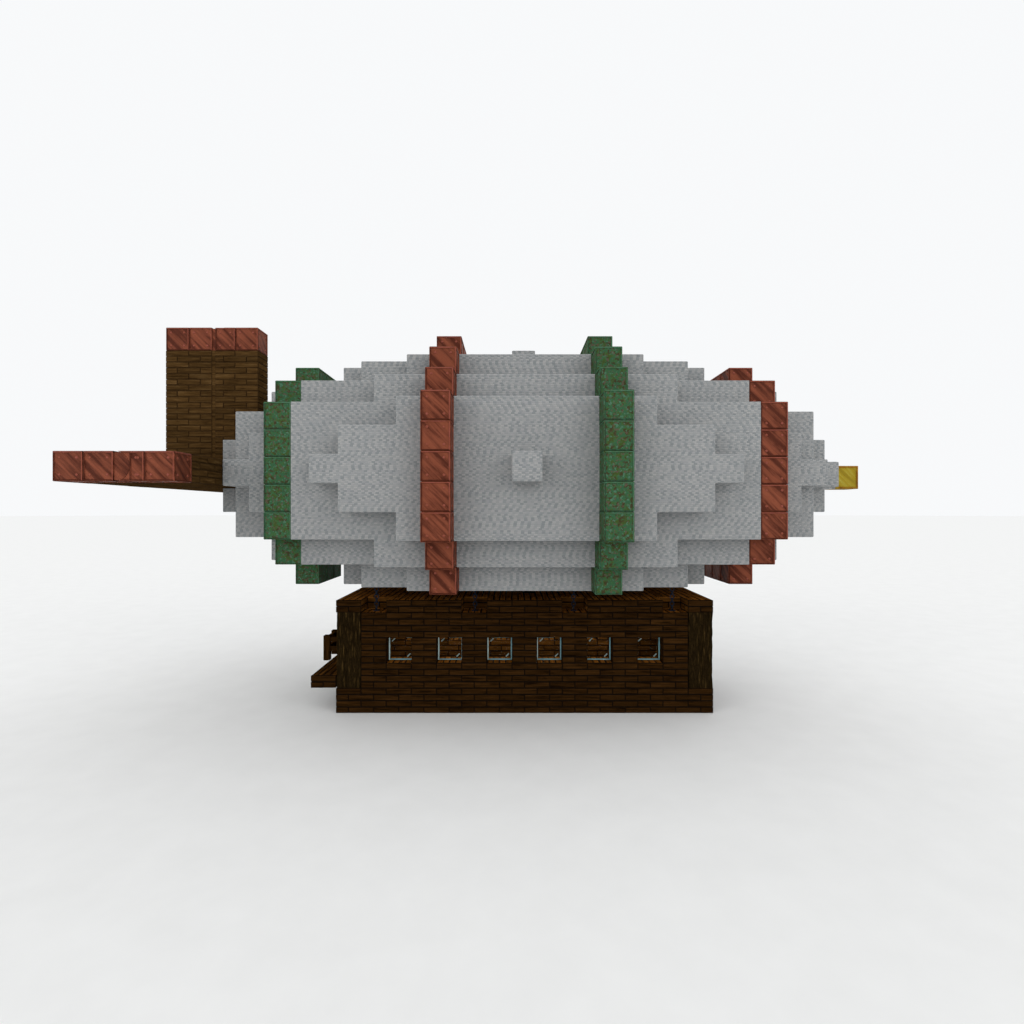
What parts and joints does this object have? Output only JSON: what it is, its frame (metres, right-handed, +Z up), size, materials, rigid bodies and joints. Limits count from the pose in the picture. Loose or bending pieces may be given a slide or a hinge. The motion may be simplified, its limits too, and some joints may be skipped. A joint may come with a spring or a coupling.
{
  "type": "airship",
  "caption": "Block-built airship: a stepped cloth hull with plate hoops over a plank cabin on chains, with a hinged rudder, elevators and a cabin door.",
  "frame": {"origin": "bottom centre of the bounding box, on the cabin's flat underside", "axes": "+X forward to the nose, +Y to port, +Z up"},
  "size_m": [30, 13, 16],
  "materials": {
    "hull_cloth": "woven grey wool cloth",
    "copper_plate": "browned copper plate with rivets",
    "green_plate": "copper plate under green patina",
    "gold_plate": "gilded plate, satin",
    "fin_plank": "mid-brown planks",
    "cabin_plank": "very dark stained planks",
    "bark_post": "dark log with its bark",
    "rail_wood": "very dark stained timber",
    "window_glass": "clear pane in a pale frame",
    "chain_iron": "blue-black iron"
  },
  "bodies": {
    "root": {"hull_tail": "hull_cloth", "hull_aft": "hull_cloth", "hull_mid": "hull_cloth", "hull_fore": "hull_cloth", "hull_nose": "hull_cloth", "hoop_green_aft": "green_plate", "hoop_copper_aft": "copper_plate", "hoop_green_fore": "green_plate", "hoop_copper_fore": "copper_plate", "nose_block": "gold_plate", "fin": "fin_plank", "fin_cap": "copper_plate", "tailplane": "fin_plank", "tailplane_tip_port": "copper_plate", "tailplane_tip_starboard": "copper_plate", "cabin_floor": "cabin_plank", "corner_post_aft_port": "bark_post", "corner_post_aft_starboard": "bark_post", "corner_post_fore_port": "bark_post", "corner_post_fore_starboard": "bark_post", "side_wall_port": "cabin_plank", "side_wall_starboard": "cabin_plank", "aft_wall": "cabin_plank", "fore_wall": "cabin_plank", "roof": "cabin_plank", "deck": "cabin_plank", "rail_port": "rail_wood", "rail_starboard": "rail_wood", "window_port_1": "window_glass", "window_port_2": "window_glass", "window_port_3": "window_glass", "window_port_4": "window_glass", "window_port_5": "window_glass", "window_port_6": "window_glass", "window_starboard_1": "window_glass", "window_starboard_2": "window_glass", "window_starboard_3": "window_glass", "window_starboard_4": "window_glass", "window_starboard_5": "window_glass", "window_starboard_6": "window_glass", "window_fore": "window_glass", "chain_port_1": "chain_iron", "chain_port_2": "chain_iron", "chain_port_3": "chain_iron", "chain_port_4": "chain_iron", "chain_starboard_1": "chain_iron", "chain_starboard_2": "chain_iron", "chain_starboard_3": "chain_iron", "chain_starboard_4": "chain_iron", "chain_centre": "chain_iron"},
    "rudder_body": {"rudder": "fin_plank", "rudder_cap": "copper_plate"},
    "elevator_port_body": {"elevator_port": "fin_plank", "elevator_tip_port": "copper_plate"},
    "elevator_starboard_body": {"elevator_starboard": "fin_plank", "elevator_tip_starboard": "copper_plate"},
    "door_body": {"door": "cabin_plank"}
  },
  "joints": [
    {"name": "rudder_turn", "type": "hinge", "parent": "root", "child": "rudder_body", "pos_m": [-13, 0, 13], "axis": [0, 0, 1], "range_deg": [-25, 25]},
    {"name": "elevator_port_turn", "type": "hinge", "parent": "root", "child": "elevator_port_body", "pos_m": [-13, 3.5, 9.5], "axis": [0, 1, 0], "range_deg": [-25, 25]},
    {"name": "elevator_starboard_turn", "type": "hinge", "parent": "root", "child": "elevator_starboard_body", "pos_m": [-13, -3.5, 9.5], "axis": [0, 1, 0], "range_deg": [-25, 25]},
    {"name": "door_swing", "type": "hinge", "parent": "root", "child": "door_body", "pos_m": [-6.05, -0.44, 2], "axis": [0, 0, -1], "range_deg": [0, 90]}
  ],
  "couplings": [
    {"joint": "elevator_starboard_turn", "follows": "elevator_port_turn", "ratio": 1}
  ]
}
